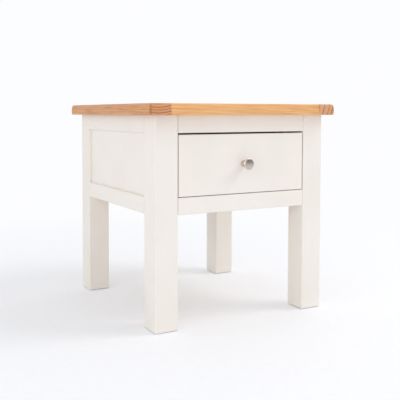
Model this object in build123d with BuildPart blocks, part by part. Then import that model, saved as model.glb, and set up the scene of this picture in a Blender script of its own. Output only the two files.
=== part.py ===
from build123d import *
import os
from dataclasses import dataclass
from math import radians, sqrt, tan

# Side table with one drawer: a painted frame of legs, rails and panels under a pine top.
# The origin is on the floor under the middle of the table: X to the right, Y to the back, Z up.
# All sizes are in millimetres.

# Overall size
table_width = 450.0
table_depth = 450.0
table_height = 450.0

# Top: centre boards running left to right, with a breadboard end on each side
top_thickness = 23.0
top_overhang = 21.0
top_corner_radius = 8.0
top_bulge_radius = 35.0
top_bulge_height = 9.0
top_upper_arris = 2.0
top_lower_arris = 1.0
centre_board_count = 4
breadboard_width = 46.0
tongue_length = 12.0
tongue_thickness = 8.0
tongue_stop = 25.0

# Legs and the square glides under them
leg_size = 50.0
leg_arris = 1.5
foot_chamfer = 0.8
glide_size = 30.0
glide_height = 1.2
glide_chamfer = 0.4

# Rails and panels: the panel recess is measured from the face of the rails
apron_height = 196.5
top_rail_height = 35.0
bottom_rail_height = 34.0
rail_thickness = 20.0
rail_setback = 0.3
rail_arris = 1.2
joint_line_width = 0.8
joint_line_depth = 2.5
tenon_thickness = 9.0
tenon_shoulder = 4.0
tenon_spacing = 7.5
panel_thickness = 6.0
panel_recess = 6.5
groove_depth = 6.0

# Drawer: gaps around its front, and the boards of its box
drawer_side_gap = 1.8
drawer_bottom_gap = 1.5
drawer_top_gap = 3.5
drawer_back_space = 30.0
drawer_front_thickness = 20.0
drawer_front_arris = 1.2
drawer_side_thickness = 12.0
drawer_side_drop = 5.0
drawer_back_thickness = 12.0
drawer_bottom_thickness = 5.0
drawer_bottom_height = 10.0
drawer_groove_depth = 6.0

# Dovetails of the drawer sides: the pin width is taken where the pins are narrowest
tail_count = 4
tail_length = 13.0
tail_angle = 10.0
pin_width = 8.0

# Knob and its screw
knob_base_diameter = 14.0
knob_face_diameter = 23.5
knob_length = 22.0
knob_rim = 1.5
knob_dome = 1.0
knob_bore_depth = 12.0
knob_screw_diameter = 4.0
knob_screw_reach = 10.0
knob_screw_head_diameter = 8.0
knob_screw_head_height = 2.6

# Runners, kickers and stops inside the frame
runner_height = 18.0
runner_lip = 1.0
guide_height = 18.0
guide_clearance = 1.0
kicker_clearance = 2.0
kicker_lap = 22.0
stop_length = 20.0
stop_height = 15.0
stop_chamfer = 2.0

# Brackets that hold the top to the front and back rails
bracket_leg = 18.0
bracket_width = 20.0
bracket_thickness = 2.0
bracket_bend_radius = 2.8
bracket_offset = 90.0
bracket_hole_diameter = 4.0
bracket_hole_inset = 7.0
bracket_slot_length = 9.0

# Clearances
fit_clearance = 0.15
glue_gap = 0.8
slide_clearance = 0.3
screw_clearance = 0.25
thread_clearance = 0.05

# Frame: distances from the middle of the table, and heights above the floor
frame_half_width = table_width / 2 - top_overhang
frame_half_depth = table_depth / 2 - top_overhang
opening_half_width = frame_half_width - leg_size
opening_half_depth = frame_half_depth - leg_size
leg_top = table_height - top_thickness
leg_length = leg_top - glide_height
apron_bottom = leg_top - apron_height
opening_bottom = apron_bottom + bottom_rail_height
opening_top = leg_top - top_rail_height
rail_back = rail_setback + rail_thickness
rail_inner_x = frame_half_width - rail_back
rail_inner_y = frame_half_depth - rail_back
tenon_middle = rail_setback + rail_thickness / 2
tenon_length = leg_size - tenon_middle - tenon_thickness / 2 - tenon_spacing
panel_shoulder = groove_depth + glue_gap
rail_heights = {"top": (opening_top, leg_top), "bottom": (apron_bottom, opening_bottom)}
tenon_heights = {
    "top": (opening_top + panel_shoulder, leg_top - tenon_shoulder),
    "bottom": (apron_bottom + tenon_shoulder, opening_bottom - panel_shoulder),
}

# Top boards, and how far the bulge of the top's edge draws back at its upper and lower side
top_upper_inset = top_bulge_radius - sqrt(top_bulge_radius**2 - (top_thickness - top_bulge_height) ** 2)
top_lower_inset = top_bulge_radius - sqrt(top_bulge_radius**2 - top_bulge_height**2)
centre_half_length = table_width / 2 - breadboard_width
centre_board_width = table_depth / centre_board_count
tongue_half_width = table_depth / 2 - tongue_stop
tongue_bottom = leg_top + (top_thickness - tongue_thickness) / 2

# Drawer box
drawer_half_width = opening_half_width - drawer_side_gap
drawer_inner_half = drawer_half_width - drawer_side_thickness
drawer_low = opening_bottom + drawer_bottom_gap
drawer_front_top = opening_top - drawer_top_gap
drawer_side_top = drawer_front_top - drawer_side_drop
drawer_face_y = rail_setback - frame_half_depth
front_inner_y = drawer_face_y + drawer_front_thickness
drawer_end_y = rail_inner_y - drawer_back_space
back_face_y = drawer_end_y - drawer_back_thickness
bottom_low = drawer_low + drawer_bottom_height
bottom_high = bottom_low + drawer_bottom_thickness
back_low = bottom_high + fit_clearance
knob_z = (drawer_low + drawer_front_top) / 2

# Runners and kickers
runner_top = drawer_low - slide_clearance
runner_bottom = runner_top - runner_height
runner_inner = drawer_inner_half - runner_lip
guide_face = drawer_half_width + guide_clearance
kicker_bottom = drawer_side_top + kicker_clearance
kicker_top = opening_top + kicker_lap


@dataclass
class Side:
    """A side of the frame: the way it faces, the outer face of its legs and half the span between them."""

    name: str
    outward: Vector
    leg_face: float
    clear_half: float

    def plane(self, along=0.0):
        """Upright cross plane of this side: local x points outward, local y up."""
        normal = self.outward.cross(Vector(0, 0, 1))
        return Plane(origin=normal * along, x_dir=self.outward, z_dir=normal)


front = Side("front", Vector(0, -1, 0), frame_half_depth, opening_half_width)
back = Side("back", Vector(0, 1, 0), frame_half_depth, opening_half_width)
left = Side("left", Vector(-1, 0, 0), frame_half_width, opening_half_depth)
right = Side("right", Vector(1, 0, 0), frame_half_width, opening_half_depth)
panelled_sides = (left, right, back)
hands = {"left": -1, "right": 1}


def save(part, name):
    """Label a finished piece and write it to a file of its own."""
    part.label = name
    export_step(part, f"parts/{name}.step")


def span(x_from, x_to, y_from, y_to):
    """Rectangle between two opposite corners, in the sketch being drawn."""
    with Locations(((x_from + x_to) / 2, (y_from + y_to) / 2)):
        Rectangle(abs(x_to - x_from), abs(y_to - y_from))


def long_bar(plane, x_from, x_to, y_from, y_to, half_length, mode=Mode.ADD):
    """Bar of rectangular section that runs equally far to both sides of a plane."""
    with BuildSketch(plane) as section:
        span(x_from, x_to, y_from, y_to)
    extrude(section.sketch, amount=half_length, both=True, mode=mode)


def tenon_bar(side, level, clearance=0.0, end_gap=0.0, mode=Mode.ADD):
    """Both tenons of a rail as one bar, or, with room around them, the mortises for them."""
    middle = side.leg_face - tenon_middle
    half = tenon_thickness / 2 + clearance
    low, high = tenon_heights[level]
    reach = side.clear_half + tenon_length + end_gap
    long_bar(side.plane(), middle - half, middle + half, low - clearance, high + clearance, reach, mode)


def panel_limits(side):
    """Inner and outer face of a panel, as distances from the middle of the table."""
    outer = side.leg_face - rail_setback - panel_recess
    return outer - panel_thickness, outer


def cut_panel_groove(side):
    """Groove around a panel, in the rails or the legs that hold it."""
    inner, outer = panel_limits(side)
    low = opening_bottom - groove_depth
    high = opening_top + groove_depth
    reach = side.clear_half + groove_depth
    long_bar(
        side.plane(), inner - fit_clearance, outer + fit_clearance, low, high, reach, Mode.SUBTRACT
    )


def dovetails(shoulder, direction, length, z_low, z_high, clearance=0.0):
    """Row of dovetails in a side view, from the shoulder line to their wide ends."""
    pitch = (z_high - z_low) / tail_count
    slope = tan(radians(tail_angle))
    reach = length + clearance
    root = (pitch - pin_width) / 2 - length * slope + clearance
    wide = root + reach * slope
    tip = shoulder + direction * reach
    for index in range(tail_count):
        middle = z_low + (index + 0.5) * pitch
        corners = [
            (shoulder, middle - root),
            (tip, middle - wide),
            (tip, middle + wide),
            (shoulder, middle + root),
        ]
        Polygon(*corners, align=None)


def cut_tail_sockets(shoulder, direction, length, z_low):
    """Sockets for the dovetails of both drawer sides, in the board that they are driven into."""
    for hand in hands.values():
        with BuildSketch(Plane.YZ.offset(hand * (drawer_inner_half - fit_clearance))) as sockets:
            dovetails(shoulder, direction, length, z_low, drawer_side_top, fit_clearance)
        depth = drawer_side_thickness + 2 * fit_clearance
        extrude(sockets.sketch, amount=hand * depth, mode=Mode.SUBTRACT)


os.makedirs("parts", exist_ok=True)

# The whole top, from which the boards are taken: a cutter run round the rim moulds its edge to a bulge
with BuildPart() as top_blank:
    with BuildSketch(Plane.XY.offset(leg_top)) as outline:
        RectangleRounded(table_width, table_depth, top_corner_radius)
    extrude(amount=top_thickness)
    rim = outline.sketch.face().outer_wire()
    along_rim = rim % 0
    cutter_plane = Plane(origin=rim @ 0, x_dir=along_rim.cross(Vector(0, 0, 1)), z_dir=-along_rim)
    with BuildSketch(cutter_plane) as cutter:
        with BuildLine():
            low = (-top_lower_inset, 0)
            high = (-top_upper_inset, top_thickness)
            ThreePointArc(low, (0, top_bulge_height), high)
            Polyline(high, (top_upper_inset, top_thickness), (top_upper_inset, 0), low)
        make_face()
    sweep(cutter.sketch, path=rim, mode=Mode.SUBTRACT)
    chamfer(top_blank.edges().group_by(Axis.Z)[-1], top_upper_arris)
    chamfer(top_blank.edges().group_by(Axis.Z)[0], top_lower_arris)

# Centre boards, counted from the front, with a stopped tongue at each end
for index in range(centre_board_count):
    y_low = index * centre_board_width - table_depth / 2
    y_high = y_low + centre_board_width
    with BuildPart() as centre_board:
        add(top_blank.part)
        with BuildSketch(Plane.XY.offset(leg_top)):
            span(-centre_half_length, centre_half_length, y_low, y_high)
        extrude(amount=top_thickness, mode=Mode.INTERSECT)
        with BuildSketch(Plane.XY.offset(tongue_bottom)):
            tongue_end = centre_half_length + tongue_length
            span(-tongue_end, tongue_end, max(y_low, -tongue_half_width), min(y_high, tongue_half_width))
        extrude(amount=tongue_thickness)
    save(centre_board.part, f"top_board_{index + 1}")

# Breadboard ends, grooved for the tongues
for name, hand in hands.items():
    with BuildPart() as breadboard:
        add(top_blank.part)
        with BuildSketch(Plane.XY.offset(leg_top)):
            span(hand * centre_half_length, hand * table_width / 2, -table_depth / 2, table_depth / 2)
        extrude(amount=top_thickness, mode=Mode.INTERSECT)
        with BuildSketch(Plane.XY.offset(tongue_bottom - fit_clearance)):
            groove_end = centre_half_length + tongue_length + glue_gap
            groove_half = tongue_half_width + glue_gap
            span(hand * centre_half_length, hand * groove_end, -groove_half, groove_half)
        extrude(amount=tongue_thickness + 2 * fit_clearance, mode=Mode.SUBTRACT)
    save(breadboard.part, f"breadboard_end_{name}")

# Legs, each with the mortises and grooves of the two sides that meet in it, and a glide
leg_middle_x = frame_half_width - leg_size / 2
leg_middle_y = frame_half_depth - leg_size / 2

for end_side, y_sign in ((front, -1), (back, 1)):
    for hand_side, x_sign in ((left, -1), (right, 1)):
        name = f"{end_side.name}_{hand_side.name}"
        foot = Vector(x_sign * leg_middle_x, y_sign * leg_middle_y, 0)
        with BuildPart() as leg:
            with BuildSketch(Plane.XY.offset(glide_height)):
                with Locations((foot.X, foot.Y)):
                    Rectangle(leg_size, leg_size)
            extrude(amount=leg_length)
            chamfer(leg.edges().group_by(Axis.Z)[0], foot_chamfer)
            fillet(leg.edges().filter_by(Axis.Z), leg_arris)
            for side in (end_side, hand_side):
                for level in tenon_heights:
                    tenon_bar(side, level, fit_clearance, glue_gap, Mode.SUBTRACT)
                if side in panelled_sides:
                    cut_panel_groove(side)
        save(leg.part, f"leg_{name}")

        with BuildPart() as glide:
            with BuildSketch():
                with Locations((foot.X, foot.Y)):
                    Rectangle(glide_size, glide_size)
            extrude(amount=glide_height)
            chamfer(glide.edges().group_by(Axis.Z)[0], glide_chamfer)
        save(glide.part, f"glide_{name}")

# Rails: a shadow line beside each leg, eased long edges, a tenon at each end and a groove for the panel
for side in (front, back, left, right):
    rail_face = side.leg_face - rail_setback
    line_floor = rail_face - joint_line_depth
    face_half = side.clear_half - joint_line_width
    for level, (z_low, z_high) in rail_heights.items():
        with BuildPart() as rail:
            long_bar(side.plane(), rail_face - rail_thickness, line_floor, z_low, z_high, side.clear_half)
            long_bar(side.plane(), line_floor, rail_face, z_low, z_high, face_half)
            face_edges = rail.faces().sort_by(Axis((0, 0, 0), side.outward))[-1].edges()
            long_edges = face_edges.filter_by(Axis((0, 0, 0), side.plane().z_dir))
            chamfer([edge for edge in long_edges if edge.center().Z < leg_top - rail_arris], rail_arris)
            tenon_bar(side, level)
            if side in panelled_sides:
                cut_panel_groove(side)
        save(rail.part, f"{side.name}_{level}_rail")

# Panels, held loosely in their grooves
for side in panelled_sides:
    inner, outer = panel_limits(side)
    with BuildPart() as panel:
        with BuildSketch(side.plane()):
            reach = groove_depth - glue_gap
            span(inner, outer, opening_bottom - reach, opening_top + reach)
        extrude(amount=side.clear_half + groove_depth - glue_gap, both=True)
    save(panel.part, f"{side.name}_panel")

# Runners with a side guide, kickers above the drawer sides, and stops behind the drawer
for side in (left, right):
    hand = hands[side.name]

    with BuildPart() as runner:
        with BuildSketch(side.plane()):
            span(runner_inner, rail_inner_x, runner_bottom, runner_top)
            span(guide_face, rail_inner_x, runner_top, runner_top + guide_height)
        extrude(amount=side.clear_half, both=True)
        with BuildSketch(side.plane()):
            span(runner_inner, guide_face, runner_bottom, runner_top)
        extrude(amount=rail_inner_y, both=True)
    save(runner.part, f"{side.name}_runner")

    with BuildPart() as kicker:
        with BuildSketch(side.plane()):
            span(runner_inner, rail_inner_x, kicker_bottom, kicker_top)
        extrude(amount=side.clear_half, both=True)
    save(kicker.part, f"{side.name}_kicker")

    with BuildPart() as stop:
        with BuildSketch(Plane.XY.offset(runner_top)):
            stop_y = drawer_end_y + slide_clearance
            span(hand * drawer_inner_half, hand * drawer_half_width, stop_y, stop_y + stop_length)
        extrude(amount=stop_height)
        chamfer(stop.faces().sort_by(Axis.Z)[-1].edges(), stop_chamfer)
    save(stop.part, f"{side.name}_drawer_stop")

# Angle brackets between the rails and the top: a round hole, and a slot that lets the top move
for side in (front, back):
    for name, hand in hands.items():
        along = Vector(hand * bracket_offset, 0, 0)
        hole_low = Vector(0, 0, leg_top - bracket_leg + bracket_hole_inset)
        slot_inner = side.outward * (rail_inner_y - bracket_leg + bracket_hole_inset)
        rail_seat = Plane(origin=along + side.outward * rail_inner_y + hole_low, z_dir=-side.outward)
        top_seat = Plane(
            origin=along + slot_inner + Vector(0, 0, leg_top), x_dir=side.outward, z_dir=(0, 0, -1)
        )
        with BuildPart() as bracket:
            with BuildSketch(side.plane(along.dot(side.plane().z_dir))) as section:
                span(rail_inner_y - bracket_leg, rail_inner_y, leg_top - bracket_thickness, leg_top)
                span(rail_inner_y - bracket_thickness, rail_inner_y, leg_top - bracket_leg, leg_top)
                bend = section.vertices().sort_by_distance((rail_inner_y, leg_top))
                fillet(bend[0], bracket_bend_radius)
            extrude(amount=bracket_width / 2, both=True)
            with Locations(rail_seat):
                Hole(bracket_hole_diameter / 2, depth=bracket_thickness)
            with BuildSketch(top_seat):
                SlotOverall(bracket_slot_length, bracket_hole_diameter)
            extrude(amount=bracket_thickness, mode=Mode.SUBTRACT)
        save(bracket.part, f"{side.name}_{name}_bracket")

# Drawer front: eased face edges, lapped dovetail sockets, a groove for the bottom and a hole for the knob
bottom_groove = (bottom_low - fit_clearance, bottom_high + fit_clearance)
knob_seat = Plane(origin=(0, drawer_face_y, knob_z), x_dir=(1, 0, 0), z_dir=(0, -1, 0))

with BuildPart() as drawer_front:
    with BuildSketch(Plane.XZ.offset(-drawer_face_y)):
        span(-drawer_half_width, drawer_half_width, drawer_low, drawer_front_top)
    extrude(amount=-drawer_front_thickness)
    chamfer(drawer_front.faces().sort_by(Axis.Y)[0].edges(), drawer_front_arris)
    cut_tail_sockets(front_inner_y, -1, tail_length, drawer_low)
    long_bar(
        Plane.YZ,
        front_inner_y - drawer_groove_depth,
        front_inner_y,
        *bottom_groove,
        drawer_inner_half + drawer_groove_depth,
        Mode.SUBTRACT,
    )
    with Locations(knob_seat):
        Hole(knob_screw_diameter / 2 + screw_clearance)
save(drawer_front.part, "drawer_front")

# Drawer sides: dovetailed at both ends, grooved along the inside for the bottom
for name, hand in hands.items():
    with BuildPart() as drawer_side:
        with BuildSketch(Plane.YZ.offset(hand * drawer_inner_half)):
            span(front_inner_y, back_face_y, drawer_low, drawer_side_top)
            span(back_face_y, drawer_end_y, drawer_low, bottom_high)
            dovetails(front_inner_y, -1, tail_length, drawer_low, drawer_side_top)
            dovetails(back_face_y, 1, drawer_back_thickness, back_low, drawer_side_top)
        extrude(amount=hand * drawer_side_thickness)
        groove_floor = drawer_inner_half + drawer_groove_depth
        long_bar(
            Plane.XZ,
            hand * drawer_inner_half,
            hand * groove_floor,
            *bottom_groove,
            table_depth,
            Mode.SUBTRACT,
        )
    save(drawer_side.part, f"drawer_side_{name}")

# Drawer back, standing on the bottom panel between the rear dovetails
with BuildPart() as drawer_back:
    with BuildSketch(Plane.XZ.offset(-drawer_end_y)):
        span(-drawer_half_width, drawer_half_width, back_low, drawer_side_top)
    extrude(amount=drawer_back_thickness)
    cut_tail_sockets(back_face_y, 1, drawer_back_thickness, back_low)
save(drawer_back.part, "drawer_back")

# Drawer bottom, slid into its grooves from behind
with BuildPart() as drawer_bottom:
    with BuildSketch(Plane.XY.offset(bottom_low)):
        bottom_half = drawer_inner_half + drawer_groove_depth - glue_gap
        bottom_front_y = front_inner_y - drawer_groove_depth + glue_gap
        span(-bottom_half, bottom_half, bottom_front_y, drawer_end_y)
    extrude(amount=drawer_bottom_thickness)
save(drawer_bottom.part, "drawer_bottom")

# Knob: a waist that flares to a bevelled rim and a slightly domed face
knob_section = Plane(origin=knob_seat.origin, x_dir=(1, 0, 0), z_dir=(0, 0, -1))
knob_axis = Axis(knob_seat.origin, (0, -1, 0))

with BuildPart() as knob:
    with BuildSketch(knob_section):
        with BuildLine():
            face_radius = knob_face_diameter / 2
            rim_bottom = knob_length - knob_dome - knob_rim
            base = (knob_base_diameter / 2, 0)
            face_edge = (face_radius - knob_rim, rim_bottom + knob_rim)
            flare = TangentArc(base, (face_radius, rim_bottom), tangent=(0, 1))
            Line(flare @ 1, face_edge)
            TangentArc((0, knob_length), face_edge, tangent=(1, 0))
            Polyline((0, knob_length), (0, 0), base)
        make_face()
    revolve(axis=knob_axis)
    with Locations(Plane(origin=knob_seat.origin, z_dir=(0, 1, 0))):
        Hole(knob_screw_diameter / 2 + thread_clearance, depth=knob_bore_depth)
save(knob.part, "drawer_knob")

# Knob screw, put in from inside the drawer
with BuildPart() as knob_screw:
    with BuildSketch(Plane.XZ.offset(-front_inner_y)):
        with Locations((0, knob_z)):
            Circle(knob_screw_diameter / 2)
    extrude(amount=drawer_front_thickness + knob_screw_reach)
    with BuildSketch(Plane.XZ.offset(-front_inner_y)):
        with Locations((0, knob_z)):
            Circle(knob_screw_head_diameter / 2)
    extrude(amount=-knob_screw_head_height)
save(knob_screw.part, "knob_screw")
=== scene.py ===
import math

import bmesh
import bpy
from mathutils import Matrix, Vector


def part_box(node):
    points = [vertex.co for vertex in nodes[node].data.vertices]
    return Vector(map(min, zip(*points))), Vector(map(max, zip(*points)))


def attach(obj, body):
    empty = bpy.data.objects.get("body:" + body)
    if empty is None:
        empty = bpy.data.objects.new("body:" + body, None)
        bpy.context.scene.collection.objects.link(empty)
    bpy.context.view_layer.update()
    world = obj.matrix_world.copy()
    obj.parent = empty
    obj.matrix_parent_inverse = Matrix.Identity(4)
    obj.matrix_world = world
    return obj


# Side table with one drawer: a painted frame under a pine top.
# Lengths are in metres, colours are linear red, green and blue, and noise scales are cycles per metre.

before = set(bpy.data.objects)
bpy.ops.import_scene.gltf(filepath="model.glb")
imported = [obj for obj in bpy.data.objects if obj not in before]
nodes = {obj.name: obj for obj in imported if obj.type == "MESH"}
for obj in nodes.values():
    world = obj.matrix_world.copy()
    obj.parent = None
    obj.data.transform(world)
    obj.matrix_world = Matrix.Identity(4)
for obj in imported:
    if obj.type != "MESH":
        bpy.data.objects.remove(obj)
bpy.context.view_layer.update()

AXIS_INDEX = {"x": 0, "y": 1, "z": 2}

# Pine: the pale wood and the dark wood of a growth ring, and what tints them, including painted shade at
# rounded corners
CENTRE_PALE = (0.9, 0.53, 0.24)
CENTRE_DARK = (0.6, 0.235, 0.065)
END_LEFT_PALE = (0.78, 0.43, 0.204)
END_LEFT_DARK = (0.37, 0.1, 0.02)
END_RIGHT_PALE = (0.78, 0.447, 0.229)
END_RIGHT_DARK = (0.34, 0.121, 0.015)
BARE_PALE = (0.8, 0.61, 0.38)
BARE_DARK = (0.6, 0.39, 0.2)
RESIN_TINT = (0.74, 0.64, 0.3)
SOAKED_TINT = (0.95, 0.9, 0.95)
CORNER_SHADE_TINT = (0.62, 0.62, 0.62)

# Growth rings: how much their spacing varies and their edges fray, in rings, the share of a ring in which
# the last dark wood ends, and the build-up and core of its own dark wood, in widths of that wood
RING_VARIATION = 1.6
RING_FRAY = 0.22
RING_START = 0.07
DARK_BUILD_UP = 3.1
DARK_CORE = 0.3

# Paint: its colour, the tints of its clouds and of the grain below it, the bare ends of the drawer front,
# and the way that a seed shifts the pattern
PAINT = (0.885, 0.842, 0.787)
CLOUD_TINT = (0.972, 0.966, 0.957)
GRAIN_TINT = (0.972, 0.972, 0.972)
BARE_END_PALE = (0.68, 0.49, 0.3)
BARE_END_DARK = (0.5, 0.33, 0.18)
SEED_SHIFT = (1.0, 0.137, 0.071)

# Plywood: the veneer on its faces and the plies on its edges
VENEER_DARK = (0.6, 0.43, 0.25)
VENEER_MIDDLE = (0.7, 0.53, 0.33)
VENEER_PALE = (0.74, 0.58, 0.38)
VENEER_FIBRE = (0.52, 0.36, 0.2)
CROSS_PLY = ((0.4, 0.26, 0.14), (0.42, 0.28, 0.15))
LONG_PLY = ((0.72, 0.56, 0.36), (0.7, 0.54, 0.35))
PLY_PAIR = 0.0032

# Metal and plastic, each between two tones
NICKEL = ((0.572, 0.516, 0.471), (0.669, 0.608, 0.557))
ZINC = ((0.62, 0.63, 0.64), (0.66, 0.62, 0.5))
PLASTIC = ((0.42, 0.4, 0.37), (0.5, 0.48, 0.45))

# Studio
WHITE = (0.98, 0.983, 1.0)
AMBIENT = (0.992, 0.996, 1.0)
AMBIENT_STRENGTH = 0.735
FLOOR = ((0.915, 0.93, 0.98), (0.935, 0.95, 1.0))
DARK_CARD = ((0.17, 0.155, 0.14), (0.21, 0.19, 0.175))
KEY_COLOUR = (1.0, 0.985, 0.96)
FILL_COLOUR = (1.0, 0.99, 0.97)


def blended(a, b, share):
    """Colour between two colours."""
    return tuple(x + (y - x) * share for x, y in zip(a, b))


def tinted(colour, tint):
    """Colour seen through a tint."""
    return tuple(c * t for c, t in zip(colour, tint))


class Graph:
    """A node tree under construction, with short ways to make its nodes and to link them."""

    def __init__(self, tree):
        self.tree = tree
        self.tree.nodes.clear()

    def node(self, kind, **settings):
        """New node with its settings."""
        made = self.tree.nodes.new(kind)
        for key, value in settings.items():
            setattr(made, key, value)
        return made

    def link(self, source, target):
        """Link an output to an input."""
        self.tree.links.new(source, target)

    def feed(self, socket, value):
        """Link a socket, or set the constant that it holds."""
        if isinstance(value, bpy.types.NodeSocket):
            self.link(value, socket)
        else:
            socket.default_value = value

    def math(self, operation, a, b=0.0, c=0.0):
        """Sum, product or other result of up to three numbers."""
        made = self.node("ShaderNodeMath", operation=operation)
        for socket, value in zip(made.inputs, (a, b, c)):
            self.feed(socket, value)
        return made.outputs[0]

    def vector(self, operation, a, b=(0.0, 0.0, 0.0)):
        """Sum, product or other result of two vectors, or the length of one."""
        made = self.node("ShaderNodeVectorMath", operation=operation)
        self.feed(made.inputs[0], a)
        if operation == "LENGTH":
            return made.outputs["Value"]
        self.feed(made.inputs[1], b)
        return made.outputs["Vector"]

    def split(self, vector):
        """The three parts of a vector."""
        made = self.node("ShaderNodeSeparateXYZ")
        self.link(vector, made.inputs[0])
        return made.outputs

    def join(self, x, y, z):
        """Vector of three numbers."""
        made = self.node("ShaderNodeCombineXYZ")
        for socket, value in zip(made.inputs, (x, y, z)):
            self.feed(socket, value)
        return made.outputs[0]

    def noise(self, vector, scale, detail=2.0, roughness=0.5, output="Fac"):
        """Cloudy noise at a place."""
        made = self.node("ShaderNodeTexNoise")
        self.link(vector, made.inputs["Vector"])
        made.inputs["Scale"].default_value = scale
        made.inputs["Detail"].default_value = detail
        made.inputs["Roughness"].default_value = roughness
        return made.outputs[output]

    def grain_noise(self, space, along, across, detail=2.0, roughness=0.5, output="Fac"):
        """Noise drawn out along the x axis of a grain space."""
        stretched = self.vector("MULTIPLY", space, (along, across, across))
        return self.noise(stretched, 1.0, detail, roughness, output)

    def fade(self, value, start, end, at_start=0.0, at_end=1.0):
        """Smooth change from one number to another, while a value goes from start to end."""
        made = self.node("ShaderNodeMapRange", interpolation_type="SMOOTHSTEP")
        self.feed(made.inputs["Value"], value)
        made.inputs["From Min"].default_value = start
        made.inputs["From Max"].default_value = end
        made.inputs["To Min"].default_value = at_start
        made.inputs["To Max"].default_value = at_end
        return made.outputs["Result"]

    def ramp(self, value, *stops):
        """Colour that runs through stops, each of a position and a colour."""
        made = self.node("ShaderNodeValToRGB")
        self.link(value, made.inputs["Fac"])
        elements = made.color_ramp.elements
        while len(elements) < len(stops):
            elements.new(0.5)
        for element, (position, colour) in zip(elements, stops):
            element.position = position
            element.color = (*colour, 1.0)
        return made.outputs["Color"]

    def mix(self, factor, a, b, blend="MIX"):
        """Colour between two colours."""
        made = self.node("ShaderNodeMix", data_type="RGBA", blend_type=blend)
        self.feed(made.inputs["Factor"], factor)
        for socket, value in zip((made.inputs[6], made.inputs[7]), (a, b)):
            self.feed(socket, value if isinstance(value, bpy.types.NodeSocket) else (*value, 1.0))
        return made.outputs[2]

    def bump(self, height, depth, strength, below=None):
        """Normal of a surface in relief, on top of another relief where one is given."""
        made = self.node("ShaderNodeBump")
        made.inputs["Distance"].default_value = depth
        made.inputs["Strength"].default_value = strength
        self.link(height, made.inputs["Height"])
        if below is not None:
            self.link(below, made.inputs["Normal"])
        return made.outputs["Normal"]

    def glow(self, kind, colour, strength=1.0):
        """Surface or background that gives off an even light."""
        made = self.node(kind)
        made.inputs["Color"].default_value = (*colour, 1.0)
        made.inputs["Strength"].default_value = strength
        return made.outputs[0]

    def mix_shaders(self, factor, a, b):
        """Shader between two shaders."""
        made = self.node("ShaderNodeMixShader")
        for socket, source in zip(made.inputs, (factor, a, b)):
            self.link(source, socket)
        return made.outputs["Shader"]

    def seen_directly(self):
        """1 for what the camera sees, straight or in metal, and 0 for the light thrown on other things."""
        path = self.node("ShaderNodeLightPath")
        seen = self.math("MAXIMUM", path.outputs["Is Camera Ray"], path.outputs["Is Glossy Ray"])
        return self.math("MAXIMUM", seen, path.outputs["Is Transmission Ray"])


class Shader(Graph):
    """A material under construction: its principled shader, and the place and direction of its surface."""

    def __init__(self, name):
        self.material = bpy.data.materials.new(name)
        self.material.use_nodes = True
        super().__init__(self.material.node_tree)
        self.surface = self.node("ShaderNodeOutputMaterial").inputs["Surface"]
        self.principled = self.node("ShaderNodeBsdfPrincipled")
        self.link(self.principled.outputs["BSDF"], self.surface)
        coords = self.node("ShaderNodeTexCoord")
        self.place = coords.outputs["Object"]
        self.normal = coords.outputs["Normal"]

    def facing(self, axis):
        """How squarely a face looks along an axis, either way: 0 to 1."""
        return self.math("ABSOLUTE", self.split(self.normal)[AXIS_INDEX[axis]])

    def grain_space(self, axis, shift):
        """Object coordinates turned so that the grain runs along x, with the pith on that axis."""
        x, y, z = self.split(self.place)
        turned = {"x": (x, y, z), "y": (y, x, z), "z": (z, x, y)}[axis]
        return self.vector("SUBTRACT", self.join(*turned), shift)

    def finish(self, colour, roughness, normal=None, **constants):
        """Feed the principled shader and hand over the finished material."""
        self.feed(self.principled.inputs["Base Color"], colour)
        self.feed(self.principled.inputs["Roughness"], roughness)
        if normal is not None:
            self.link(normal, self.principled.inputs["Normal"])
        for name, value in constants.items():
            self.principled.inputs[name.replace("_", " ")].default_value = value
        return self.material


def growth_rings(shader, space, spacing, wander):
    """Saw-toothed rings round the x axis of a grain space, which wander as a stem does: 0 pale to 1 dark."""
    sway = shader.grain_noise(space, along=1.6, across=5.0, output="Color")
    sway = shader.vector("SUBTRACT", sway, (0.5, 0.5, 0.5))
    sway = shader.vector("MULTIPLY", sway, (0.0, wander, wander))
    radial = shader.vector("MULTIPLY", shader.vector("ADD", space, sway), (0.0, 1.0, 1.0))
    distance = shader.vector("LENGTH", radial)
    uneven = shader.noise(shader.join(distance, 0.0, 0.0), 45.0, detail=1.0)
    fuzzy = shader.grain_noise(space, along=14.0, across=260.0, detail=3.0)
    count = shader.math("MULTIPLY", distance, 1.0 / spacing)
    count = shader.math("MULTIPLY_ADD", uneven, RING_VARIATION, count)
    count = shader.math("MULTIPLY_ADD", fuzzy, RING_FRAY, count)
    return shader.math("FRACT", count)


def bowed(shader, space, bow):
    """Grain space with bowed fibres, as where a stem swells: the rise is bow times the length squared."""
    along, across, up = shader.split(space)
    rise = shader.math("MULTIPLY", shader.math("MULTIPLY", along, along), bow)
    return shader.join(along, across, shader.math("ADD", up, rise))


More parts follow.
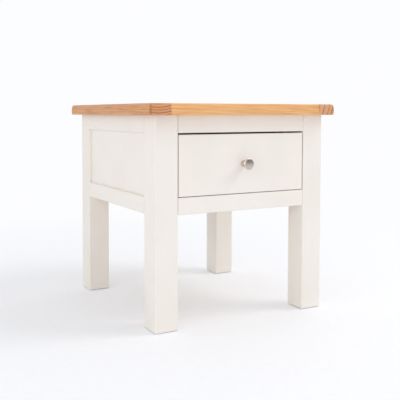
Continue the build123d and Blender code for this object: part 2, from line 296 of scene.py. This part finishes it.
def pine(
    name, axis, pith, spacing, pale, dark, broad="z", late=0.16, wander=0.03, bow=0.0, seed=0.0,
    roughness=0.45, coat=0.0,
):
    """Solid pine: rings round a pith, streaks, fibres, resin lines, and end grain that soaks up the finish.

    The grain runs along one axis. The broad faces, on which the rings show most, look along another.
    Late is the share of dark wood in a ring, and seed slides the pattern along the grain.
    """
    shader = Shader(name)
    space = bowed(shader, shader.grain_space(axis, pith), bow)
    space = shader.vector("ADD", space, (seed, 0.0, 0.0))
    middle = blended(pale, dark, 0.45)

    end_grain = shader.fade(shader.facing(axis), 0.6, 0.98)
    broad_face = shader.fade(shader.facing(broad), 0.75, 0.95)
    side_grain = shader.fade(end_grain, 0.0, 1.0, at_start=1.0, at_end=0.15)
    narrow_face = shader.fade(broad_face, 0.0, 1.0, at_start=1.0, at_end=0.45)
    loose_grain = shader.math("MULTIPLY", side_grain, narrow_face)

    rings = growth_rings(shader, space, spacing, wander)
    ring_colour = shader.ramp(
        rings,
        (0.0, middle),
        (RING_START, pale),
        (1.0 - DARK_BUILD_UP * late, pale),
        (1.0 - late, middle),
        (1.0 - DARK_CORE * late, dark),
        (1.0, dark),
    )
    ring_share = shader.fade(end_grain, 0.0, 1.0, at_start=0.35, at_end=0.95)
    ring_share = shader.math("MULTIPLY_ADD", broad_face, 0.3, ring_share)
    colour = shader.mix(ring_share, blended(pale, dark, 0.1), ring_colour)

    streak = shader.grain_noise(space, along=13.0, across=300.0)
    streak_share = shader.math("MULTIPLY", shader.fade(streak, 0.44, 0.68, at_end=0.7), loose_grain)
    colour = shader.mix(streak_share, colour, blended(pale, dark, 0.75))
    patch = shader.grain_noise(space, along=15.0, across=70.0)
    patch_share = shader.math("MULTIPLY", shader.fade(patch, 0.42, 0.7, at_end=0.6), loose_grain)
    colour = shader.mix(patch_share, colour, middle)
    fibre = shader.grain_noise(space, along=9.0, across=700.0, detail=4.0, roughness=0.65)
    colour = shader.mix(shader.fade(fibre, 0.35, 0.75, at_end=0.3), colour, dark)
    resin = shader.grain_noise(space, along=16.0, across=420.0, detail=1.0)
    resin_share = shader.math("MULTIPLY", shader.fade(resin, 0.68, 0.76, at_end=0.5), side_grain)
    colour = shader.mix(resin_share, colour, tinted(dark, RESIN_TINT))

    soaked = shader.mix(1.0, colour, SOAKED_TINT, "MULTIPLY")
    colour = shader.mix(end_grain, colour, soaked)
    # Painted shade: darker on rounded vertical corners, and in part the grain turning round the corner
    corner_shade = shader.math("MULTIPLY", shader.facing("x"), shader.facing("y"))
    colour = shader.mix(shader.fade(corner_shade, 0.3, 0.5, at_end=0.48), colour, tinted(dark, CORNER_SHADE_TINT))

    height = shader.math("MULTIPLY_ADD", fibre, 0.6, shader.math("MULTIPLY", rings, -0.5))
    normal = shader.bump(height, depth=0.00003, strength=0.5)
    gloss = shader.fade(fibre, 0.3, 0.8, at_start=roughness - 0.05, at_end=roughness + 0.09)
    return shader.finish(
        colour, gloss, normal, Coat_Weight=coat, Coat_Roughness=0.3, Specular_IOR_Level=0.25
    )


def painted(name, axis, seed, bare_ends=False):
    """Satin paint on wood: a trace of the grain below, roller stipple, and slight unevenness of tone.

    Bare ends leave the wood unpainted on the faces where the grain ends.
    """
    shader = Shader(name)
    space = shader.grain_space(axis, [seed * part for part in SEED_SHIFT])
    grain = shader.grain_noise(space, along=4.0, across=110.0, detail=4.0, roughness=0.6)
    stipple = shader.noise(space, 900.0, roughness=0.55)
    cloud = shader.noise(space, 7.0, detail=3.0, roughness=0.55)
    colour = shader.mix(shader.fade(cloud, 0.3, 0.7), PAINT, tinted(PAINT, CLOUD_TINT))
    colour = shader.mix(shader.fade(grain, 0.52, 0.72, at_end=0.45), colour, tinted(PAINT, GRAIN_TINT))
    if bare_ends:
        _, across, up = shader.split(space)
        layers = shader.noise(shader.join(0.0, shader.math("MULTIPLY", across, 420.0), up), 1.0)
        wood = shader.mix(shader.fade(layers, 0.35, 0.65), BARE_END_PALE, BARE_END_DARK)
        colour = shader.mix(shader.fade(shader.facing(axis), 0.8, 0.95), colour, wood)
    normal = shader.bump(grain, depth=0.00012, strength=0.35)
    normal = shader.bump(stipple, depth=0.00004, strength=0.4, below=normal)
    uneven = shader.math("MULTIPLY_ADD", cloud, 0.5, shader.math("MULTIPLY", grain, 0.5))
    gloss = shader.fade(uneven, 0.3, 0.7, at_start=0.42, at_end=0.54)
    return shader.finish(colour, gloss, normal, Specular_IOR_Level=0.4)


def plywood():
    """Thin plywood: rotary-cut veneer on the faces, dark and pale plies on the edges."""
    shader = Shader("plywood_sheet")
    space = shader.grain_space("x", (0.0, 0.0, 0.0))
    _, across, up = shader.split(space)
    sway = shader.noise(shader.vector("MULTIPLY", space, (2.2, 6.0, 1.0)), 1.0, detail=3.0)
    bands = shader.math("MULTIPLY_ADD", sway, 9.0, shader.math("MULTIPLY", across, 26.0))
    figure = shader.math("PINGPONG", bands, 0.5)
    face = shader.ramp(figure, (0.0, VENEER_DARK), (0.12, VENEER_MIDDLE), (0.5, VENEER_PALE))
    fibre = shader.grain_noise(space, along=10.0, across=600.0, detail=3.0, roughness=0.6)
    face = shader.mix(shader.fade(fibre, 0.4, 0.8, at_end=0.3), face, VENEER_FIBRE)
    ply = shader.math("FRACT", shader.math("MULTIPLY", up, 1.0 / PLY_PAIR))
    edge = shader.ramp(
        ply, (0.0, CROSS_PLY[0]), (0.47, CROSS_PLY[1]), (0.53, LONG_PLY[0]), (1.0, LONG_PLY[1])
    )
    colour = shader.mix(shader.fade(shader.facing("z"), 0.4, 0.6), edge, face)
    normal = shader.bump(fibre, depth=0.00015, strength=0.5)
    gloss = shader.fade(fibre, 0.3, 0.8, at_start=0.5, at_end=0.65)
    return shader.finish(colour, gloss, normal, Specular_IOR_Level=0.35)


def turned_nickel(centre):
    """Satin nickel, brushed in rings round the knob's axis."""
    shader = Shader("satin_nickel_turned")
    line_scale = 2600.0
    offset = shader.vector("SUBTRACT", shader.place, centre)
    x, y, z = shader.split(offset)
    radius = shader.vector("LENGTH", shader.join(x, 0.0, z))
    turned = shader.join(
        shader.math("MULTIPLY", radius, line_scale), shader.math("MULTIPLY", y, line_scale), 0.0
    )
    lines = shader.noise(turned, 1.0, detail=3.0, roughness=0.7)
    cloud = shader.noise(offset, 160.0)
    colour = shader.mix(shader.fade(lines, 0.3, 0.7), *NICKEL)
    uneven = shader.math("MULTIPLY_ADD", lines, 0.6, shader.math("MULTIPLY", cloud, 0.4))
    gloss = shader.fade(uneven, 0.3, 0.7, at_start=0.28, at_end=0.38)
    normal = shader.bump(lines, depth=0.00002, strength=0.35)
    return shader.finish(colour, gloss, normal, Metallic=1.0)


def zinc():
    """Zinc plated steel with a cloudy, faintly yellow bloom."""
    shader = Shader("zinc_plate")
    cloud = shader.noise(shader.place, 240.0, detail=4.0, roughness=0.6)
    spangle = shader.noise(shader.place, 1500.0)
    colour = shader.mix(shader.fade(cloud, 0.35, 0.65), *ZINC)
    gloss = shader.fade(spangle, 0.3, 0.7, at_start=0.3, at_end=0.45)
    normal = shader.bump(spangle, depth=0.00003, strength=0.4)
    return shader.finish(colour, gloss, normal, Metallic=1.0)


def moulded_plastic():
    """Grey moulded plastic with a fine grained surface."""
    shader = Shader("moulded_plastic")
    fine = shader.noise(shader.place, 1800.0, detail=3.0, roughness=0.6)
    colour = shader.mix(shader.fade(fine, 0.3, 0.7), *PLASTIC)
    gloss = shader.fade(fine, 0.3, 0.7, at_start=0.5, at_end=0.65)
    return shader.finish(colour, gloss, shader.bump(fine, depth=0.00005, strength=0.5))


def dress(name, material):
    """Give a CAD node its material."""
    slots = nodes[name].data.materials
    slots.clear()
    slots.append(material)


# Centre boards of the top: each is cut from its own stem, with its own pith, bow of the grain and tone.
# The pith is given along and across the board, and up from the underside of the top.
CENTRE_RINGS = 0.0065
SEED_STEP = 1.3
top_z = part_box("top_board_1")[0].z
CENTRE_BOARDS = (
    ((-0.1, -0.215, -0.055), 0.12, (1.0, 1.0, 1.0)),
    ((0.12, -0.045, -0.04), 0.1, (0.95, 0.9, 0.84)),
    ((-0.18, 0.07, -0.11), -0.07, (0.99, 0.98, 1.0)),
    ((0.05, 0.19, -0.05), 0.09, (0.93, 0.89, 0.86)),
)
for index, ((along, across, up), bow, tone) in enumerate(CENTRE_BOARDS):
    board = pine(
        f"pine_board_{index + 1}",
        "x",
        (along, across, top_z + up),
        CENTRE_RINGS,
        tinted(CENTRE_PALE, tone),
        tinted(CENTRE_DARK, tone),
        bow=bow,
        seed=SEED_STEP * index,
        coat=0.06,
    )
    dress(f"top_board_{index + 1}", board)

# Breadboard ends, of straighter wood
END_WANDER = 0.012
END_COAT = 0.04
END_LEFT_RINGS = 0.0056
END_LEFT_PITH = (0.7, -0.21, top_z + 0.118)
END_RIGHT_RINGS = 0.0115
END_RIGHT_PITH = (1.9, 0.2775, top_z - 0.02)
end_left = pine(
    "pine_end_left",
    "y",
    END_LEFT_PITH,
    END_LEFT_RINGS,
    END_LEFT_PALE,
    END_LEFT_DARK,
    late=0.28,
    wander=END_WANDER,
    coat=END_COAT,
)
dress("breadboard_end_left", end_left)
end_right = pine(
    "pine_end_right",
    "y",
    END_RIGHT_PITH,
    END_RIGHT_RINGS,
    END_RIGHT_PALE,
    END_RIGHT_DARK,
    wander=END_WANDER,
    coat=END_COAT,
)
dress("breadboard_end_right", end_right)

# Painted frame and drawer front, with the grain of each piece along its length
paint_axes = {"x": ["back_panel"], "y": [], "z": []}
for side in ("front", "back"):
    paint_axes["x"] += [f"{side}_top_rail", f"{side}_bottom_rail"]
    paint_axes["z"] += [f"leg_{side}_left", f"leg_{side}_right"]
for side in ("left", "right"):
    paint_axes["y"] += [f"{side}_top_rail", f"{side}_bottom_rail", f"{side}_panel"]
for axis, names in paint_axes.items():
    paint = painted(f"cream_paint_{axis}", axis, 1.0 + AXIS_INDEX[axis])
    for name in names:
        dress(name, paint)
dress("drawer_front", painted("cream_paint_drawer", "x", 1.0, bare_ends=True))

# Bare pine inside, for the runners, kickers, stops and drawer box: the spacing of its rings and its pith.
# On the left and right, the pith is given from the middle of the table and up from the floor.
RUNNING_RINGS = 0.004
SIDE_RINGS = 0.0036
BACK_RINGS = 0.0038
RUNNING_PITH = (0.19, 0.24)
SIDE_PITH = (0.2, 0.36)
BACK_PITH = (4.0, 0.1, 0.3)


def bare_pine(name, axis, pith, spacing, broad):
    """Planed pine without a finish."""
    return pine(name, axis, pith, spacing, BARE_PALE, BARE_DARK, broad, roughness=0.6)


for index, (side, sign) in enumerate((("left", -1), ("right", 1))):
    pith = (index, sign * RUNNING_PITH[0], RUNNING_PITH[1])
    running = bare_pine(f"bare_pine_{side}", "y", pith, RUNNING_RINGS, "x")
    for piece in ("runner", "kicker", "drawer_stop"):
        dress(f"{side}_{piece}", running)
    pith = (2.0 + index, sign * SIDE_PITH[0], SIDE_PITH[1])
    dress(f"drawer_side_{side}", bare_pine(f"bare_pine_drawer_{side}", "y", pith, SIDE_RINGS, "x"))
dress("drawer_back", bare_pine("bare_pine_drawer_back", "x", BACK_PITH, BACK_RINGS, "y"))
dress("drawer_bottom", plywood())

# Fittings: the knob and its screw, the brackets and the glides
knob_low, knob_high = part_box("drawer_knob")
dress("drawer_knob", turned_nickel((knob_low + knob_high) / 2))
zinc_plate = zinc()
glide_plastic = moulded_plastic()
dress("knob_screw", zinc_plate)
for end in ("front", "back"):
    for hand in ("left", "right"):
        dress(f"{end}_{hand}_bracket", zinc_plate)
        dress(f"glide_{end}_{hand}", glide_plastic)

# Screw heads: radius and height, and the shares of these at the rings of a head and at its cross recess
PAN_HEAD = (0.0034, 0.0019)
FLUSH_HEAD = (0.0036, 0.0004)
SMALL_HEAD = (0.0026, 0.0014)
HEAD_SEGMENTS = 24
HEAD_RINGS = ((1.0, 0.0), (1.0, 0.4), (0.93, 0.76), (0.78, 1.0))
RECESS_REACH = 0.55
RECESS_HALF_WIDTH = 0.13
RECESS_TAPER = 0.7
RECESS_FLOOR = 0.45

# Places of the screws: the bracket's plate and the inset of its holes, the height of a screw above the lower
# side of a runner or kicker, and shares of the length of what is screwed
PLATE = 0.002
HOLE_INSET = 0.007
SCREW_RISE = 0.009
RUNNER_SHARES = {"front": 0.2, "back": 0.8}
BOTTOM_SHARES = (0.12, 0.5, 0.88)


def screw_head(name, radius, height):
    """Mesh of a pan head with a cross recess, standing on the plane z = 0."""
    shape = bmesh.new()
    turns = [math.tau * step / HEAD_SEGMENTS for step in range(HEAD_SEGMENTS)]
    rings = []
    for share, level in HEAD_RINGS:
        reach = radius * share
        rings.append(
            [shape.verts.new((reach * math.cos(a), reach * math.sin(a), height * level)) for a in turns]
        )
    for lower, upper in zip(rings, rings[1:]):
        for i in range(HEAD_SEGMENTS):
            j = (i + 1) % HEAD_SEGMENTS
            shape.faces.new((lower[i], lower[j], upper[j], upper[i]))
    shape.faces.new(reversed(rings[0]))

    arm = radius * RECESS_REACH
    half = radius * RECESS_HALF_WIDTH
    cross = [(arm, -half), (arm, half), (half, half)]
    for _ in range(3):
        cross += [(-y, x) for x, y in cross[-3:]]
    mouth = [shape.verts.new((x, y, height)) for x, y in cross]
    floor = [
        shape.verts.new((x * RECESS_TAPER, y * RECESS_TAPER, height * RECESS_FLOOR)) for x, y in cross
    ]
    rim_edges = []
    for loop in (rings[-1], mouth):
        for a, b in zip(loop, loop[1:] + loop[:1]):
            rim_edges.append(shape.edges.get((a, b)) or shape.edges.new((a, b)))
    bmesh.ops.triangle_fill(shape, edges=rim_edges, use_beauty=True)
    for i in range(len(mouth)):
        j = (i + 1) % len(mouth)
        shape.faces.new((mouth[i], mouth[j], floor[j], floor[i]))
    shape.faces.new(floor)
    bmesh.ops.recalc_face_normals(shape, faces=shape.faces)

    mesh = bpy.data.meshes.new(name)
    shape.to_mesh(mesh)
    shape.free()
    mesh.materials.append(zinc_plate)
    return mesh


def add_object(name, data):
    """New object in the scene."""
    made = bpy.data.objects.new(name, data)
    bpy.context.scene.collection.objects.link(made)
    return made


def fix(mesh, name, place, outward, body):
    """Set a screw head on a surface, facing outward, and let it ride on a body."""
    piece = add_object(name, mesh)
    piece.location = place
    piece.rotation_euler = Vector(outward).to_track_quat("Z", "Y").to_euler()
    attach(piece, body)


# Screws of the brackets: one in the rail and one in the top
pan_head = screw_head("pan_head", *PAN_HEAD)
flush_head = screw_head("flush_head", *FLUSH_HEAD)
small_head = screw_head("small_head", *SMALL_HEAD)
for side, inward in (("front", 1), ("back", -1)):
    for hand in ("left", "right"):
        low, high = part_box(f"{side}_{hand}_bracket")
        middle_x = (low.x + high.x) / 2
        plate_y, edge_y = (low.y, high.y) if side == "front" else (high.y, low.y)
        rail_place = (middle_x, plate_y + inward * PLATE, low.z + HOLE_INSET)
        top_place = (middle_x, edge_y - inward * HOLE_INSET, high.z - PLATE)
        fix(pan_head, f"{side}_{hand}_rail_screw", rail_place, (0, inward, 0), "table")
        fix(pan_head, f"{side}_{hand}_top_screw", top_place, (0, 0, -1), "table")

# Screws of the runners and kickers, on their inner sides
for hand, inward in (("left", 1), ("right", -1)):
    for piece in ("kicker", "runner"):
        low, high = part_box(f"{hand}_{piece}")
        inner_x = high.x if hand == "left" else low.x
        for end, share in RUNNER_SHARES.items():
            place = (inner_x, low.y + (high.y - low.y) * share, low.z + SCREW_RISE)
            fix(flush_head, f"{hand}_{piece}_screw_{end}", place, (inward, 0, 0), "table")

# Screws under the drawer bottom, into the drawer back
bottom_low, bottom_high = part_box("drawer_bottom")
back_low, back_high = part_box("drawer_back")
back_middle_y = (back_low.y + back_high.y) / 2
for index, share in enumerate(BOTTOM_SHARES, 1):
    place = (bottom_low.x + (bottom_high.x - bottom_low.x) * share, back_middle_y, bottom_low.z)
    fix(small_head, f"drawer_bottom_screw_{index}", place, (0, 0, -1), "drawer")

# Stage: the floor shows the table's shadow within the first radius and is plain white beyond the second.
# Under the feet its white share is less: a painted contact shadow, soft from just inside a foot to just
# outside it.
FLOOR_RADIUS = 40.0
FLOOR_SEGMENTS = 96
SHADOW_RADII = (0.45, 1.45)
NEAR_WHITE = 0.3
FOOT_SHADOW_WHITE = 0.35
FOOT_EDGE_INSIDE = 0.002
FOOT_EDGE_OUTSIDE = 0.001


def outside_foot_shadow(shader):
    """Less than 1 under the four feet, a painted shadow where little light gets in, and 1 on the open floor.
    """
    low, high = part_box("leg_back_right")
    x, y, _ = shader.split(shader.place)
    offsets = []
    for place, middle in ((x, (low.x + high.x) / 2), (y, (low.y + high.y) / 2)):
        offset = shader.math("SUBTRACT", shader.math("ABSOLUTE", place), middle)
        offsets.append(shader.math("ABSOLUTE", offset))
    half = (high.x - low.x) / 2
    farthest = shader.math("MAXIMUM", *offsets)
    return shader.fade(farthest, half - FOOT_EDGE_INSIDE, half + FOOT_EDGE_OUTSIDE, at_start=FOOT_SHADOW_WHITE)


def floor_material():
    """Pale floor that turns to plain white well away from the table."""
    shader = Shader("studio_floor")
    speck = shader.noise(shader.place, 60.0, detail=3.0)
    shader.finish(shader.mix(shader.fade(speck, 0.3, 0.7), *FLOOR), 0.75, Specular_IOR_Level=0.2)
    far = shader.fade(shader.vector("LENGTH", shader.place), *SHADOW_RADII, at_start=NEAR_WHITE)
    # Painted contact shadow: less white under the feet
    far = shader.math("MULTIPLY", far, outside_foot_shadow(shader))
    white_share = shader.math("MULTIPLY", far, shader.seen_directly())
    white = shader.glow("ShaderNodeEmission", WHITE)
    shader.link(
        shader.mix_shaders(white_share, shader.principled.outputs["BSDF"], white), shader.surface
    )
    return shader.material


def make_floor(radius):
    """Round floor under the table."""
    mesh = bpy.data.meshes.new("studio_floor")
    shape = bmesh.new()
    bmesh.ops.create_circle(shape, cap_ends=True, segments=FLOOR_SEGMENTS, radius=radius)
    shape.to_mesh(mesh)
    shape.free()
    floor = add_object("studio_floor", mesh)
    mesh.materials.append(floor_material())


def make_card(name, centre, half_width, low, high):
    """Dark upright card that stands off camera, facing the table, and shows in its metal only."""
    foot = Vector((*centre, 0.0))
    along = (-foot).normalized().cross(Vector((0.0, 0.0, 1.0)))
    corners = [
        foot + along * side * half_width + Vector((0.0, 0.0, height))
        for side, height in ((-1, low), (1, low), (1, high), (-1, high))
    ]
    mesh = bpy.data.meshes.new(name)
    mesh.from_pydata(corners, [], [(0, 1, 2, 3)])
    card = add_object(name, mesh)
    shader = Shader(name)
    weave = shader.noise(shader.place, 300.0)
    mesh.materials.append(shader.finish(shader.mix(weave, *DARK_CARD), 0.9))
    card.visible_camera = False
    card.visible_diffuse = False
    card.visible_shadow = False


make_floor(FLOOR_RADIUS)
make_card("dark_card", centre=(1.24, -2.03), half_width=1.3, low=0.2, high=2.2)


def make_world():
    """World that is white to the camera and in reflections, and an even soft light otherwise."""
    world = bpy.data.worlds.new("studio")
    world.use_nodes = True
    graph = Graph(world.node_tree)
    ambient = graph.glow("ShaderNodeBackground", AMBIENT, AMBIENT_STRENGTH)
    backdrop = graph.glow("ShaderNodeBackground", WHITE)
    blend = graph.mix_shaders(graph.seen_directly(), ambient, backdrop)
    graph.link(blend, graph.node("ShaderNodeOutputWorld").inputs["Surface"])
    bpy.context.scene.world = world


make_world()

# Lamps: round soft boxes that look at the middle of the table, with their place, diameter, watts and colour
TABLE_MIDDLE = Vector((0.0, 0.0, 0.22))
LAMPS = {
    "key_light": ((2.4, -1.2, 2.8), 1.8, 45.0, KEY_COLOUR),
    "back_light": ((2.2, 1.4, 2.6), 1.8, 7.0, KEY_COLOUR),
    "front_fill": ((-2.3, -2.2, 0.8), 2.0, 12.0, FILL_COLOUR),
    "left_fill": ((-2.8, -0.9, 1.2), 2.0, 9.5, FILL_COLOUR),
}
for name, (place, diameter, watts, colour) in LAMPS.items():
    lamp = bpy.data.lights.new(name, "AREA")
    lamp.shape = "DISK"
    lamp.size = diameter
    lamp.energy = watts
    lamp.color = colour
    holder = add_object(name, lamp)
    holder.location = place
    holder.rotation_euler = (TABLE_MIDDLE - Vector(place)).to_track_quat("-Z", "Y").to_euler()

# Camera: where it stands, how it is turned in degrees, and its focal length and optical centre in pixels
IMAGE_PIXELS = 400.0
FOCAL_PIXELS = 655.645
CENTRE_PIXEL_X = 170.0
CENTRE_PIXEL_Y = 146.5
SENSOR_WIDTH_MM = 36.0
CAMERA_PLACE = (-0.7584, -1.3297, 0.4317)
CAMERA_DIP = 2.946
CAMERA_TURN = -27.528
camera_data = bpy.data.cameras.new("camera")
camera_data.sensor_width = SENSOR_WIDTH_MM
camera_data.lens = FOCAL_PIXELS * SENSOR_WIDTH_MM / IMAGE_PIXELS
camera_data.shift_x = (IMAGE_PIXELS / 2 - CENTRE_PIXEL_X) / IMAGE_PIXELS
camera_data.shift_y = (CENTRE_PIXEL_Y - IMAGE_PIXELS / 2) / IMAGE_PIXELS
camera_data.clip_start = 0.01
camera_data.clip_end = 100.0
camera = add_object("camera", camera_data)
camera.location = CAMERA_PLACE
camera.rotation_euler = (math.radians(90.0 - CAMERA_DIP), 0.0, math.radians(CAMERA_TURN))
bpy.context.scene.camera = camera

bpy.context.scene.view_settings.view_transform = "Standard"
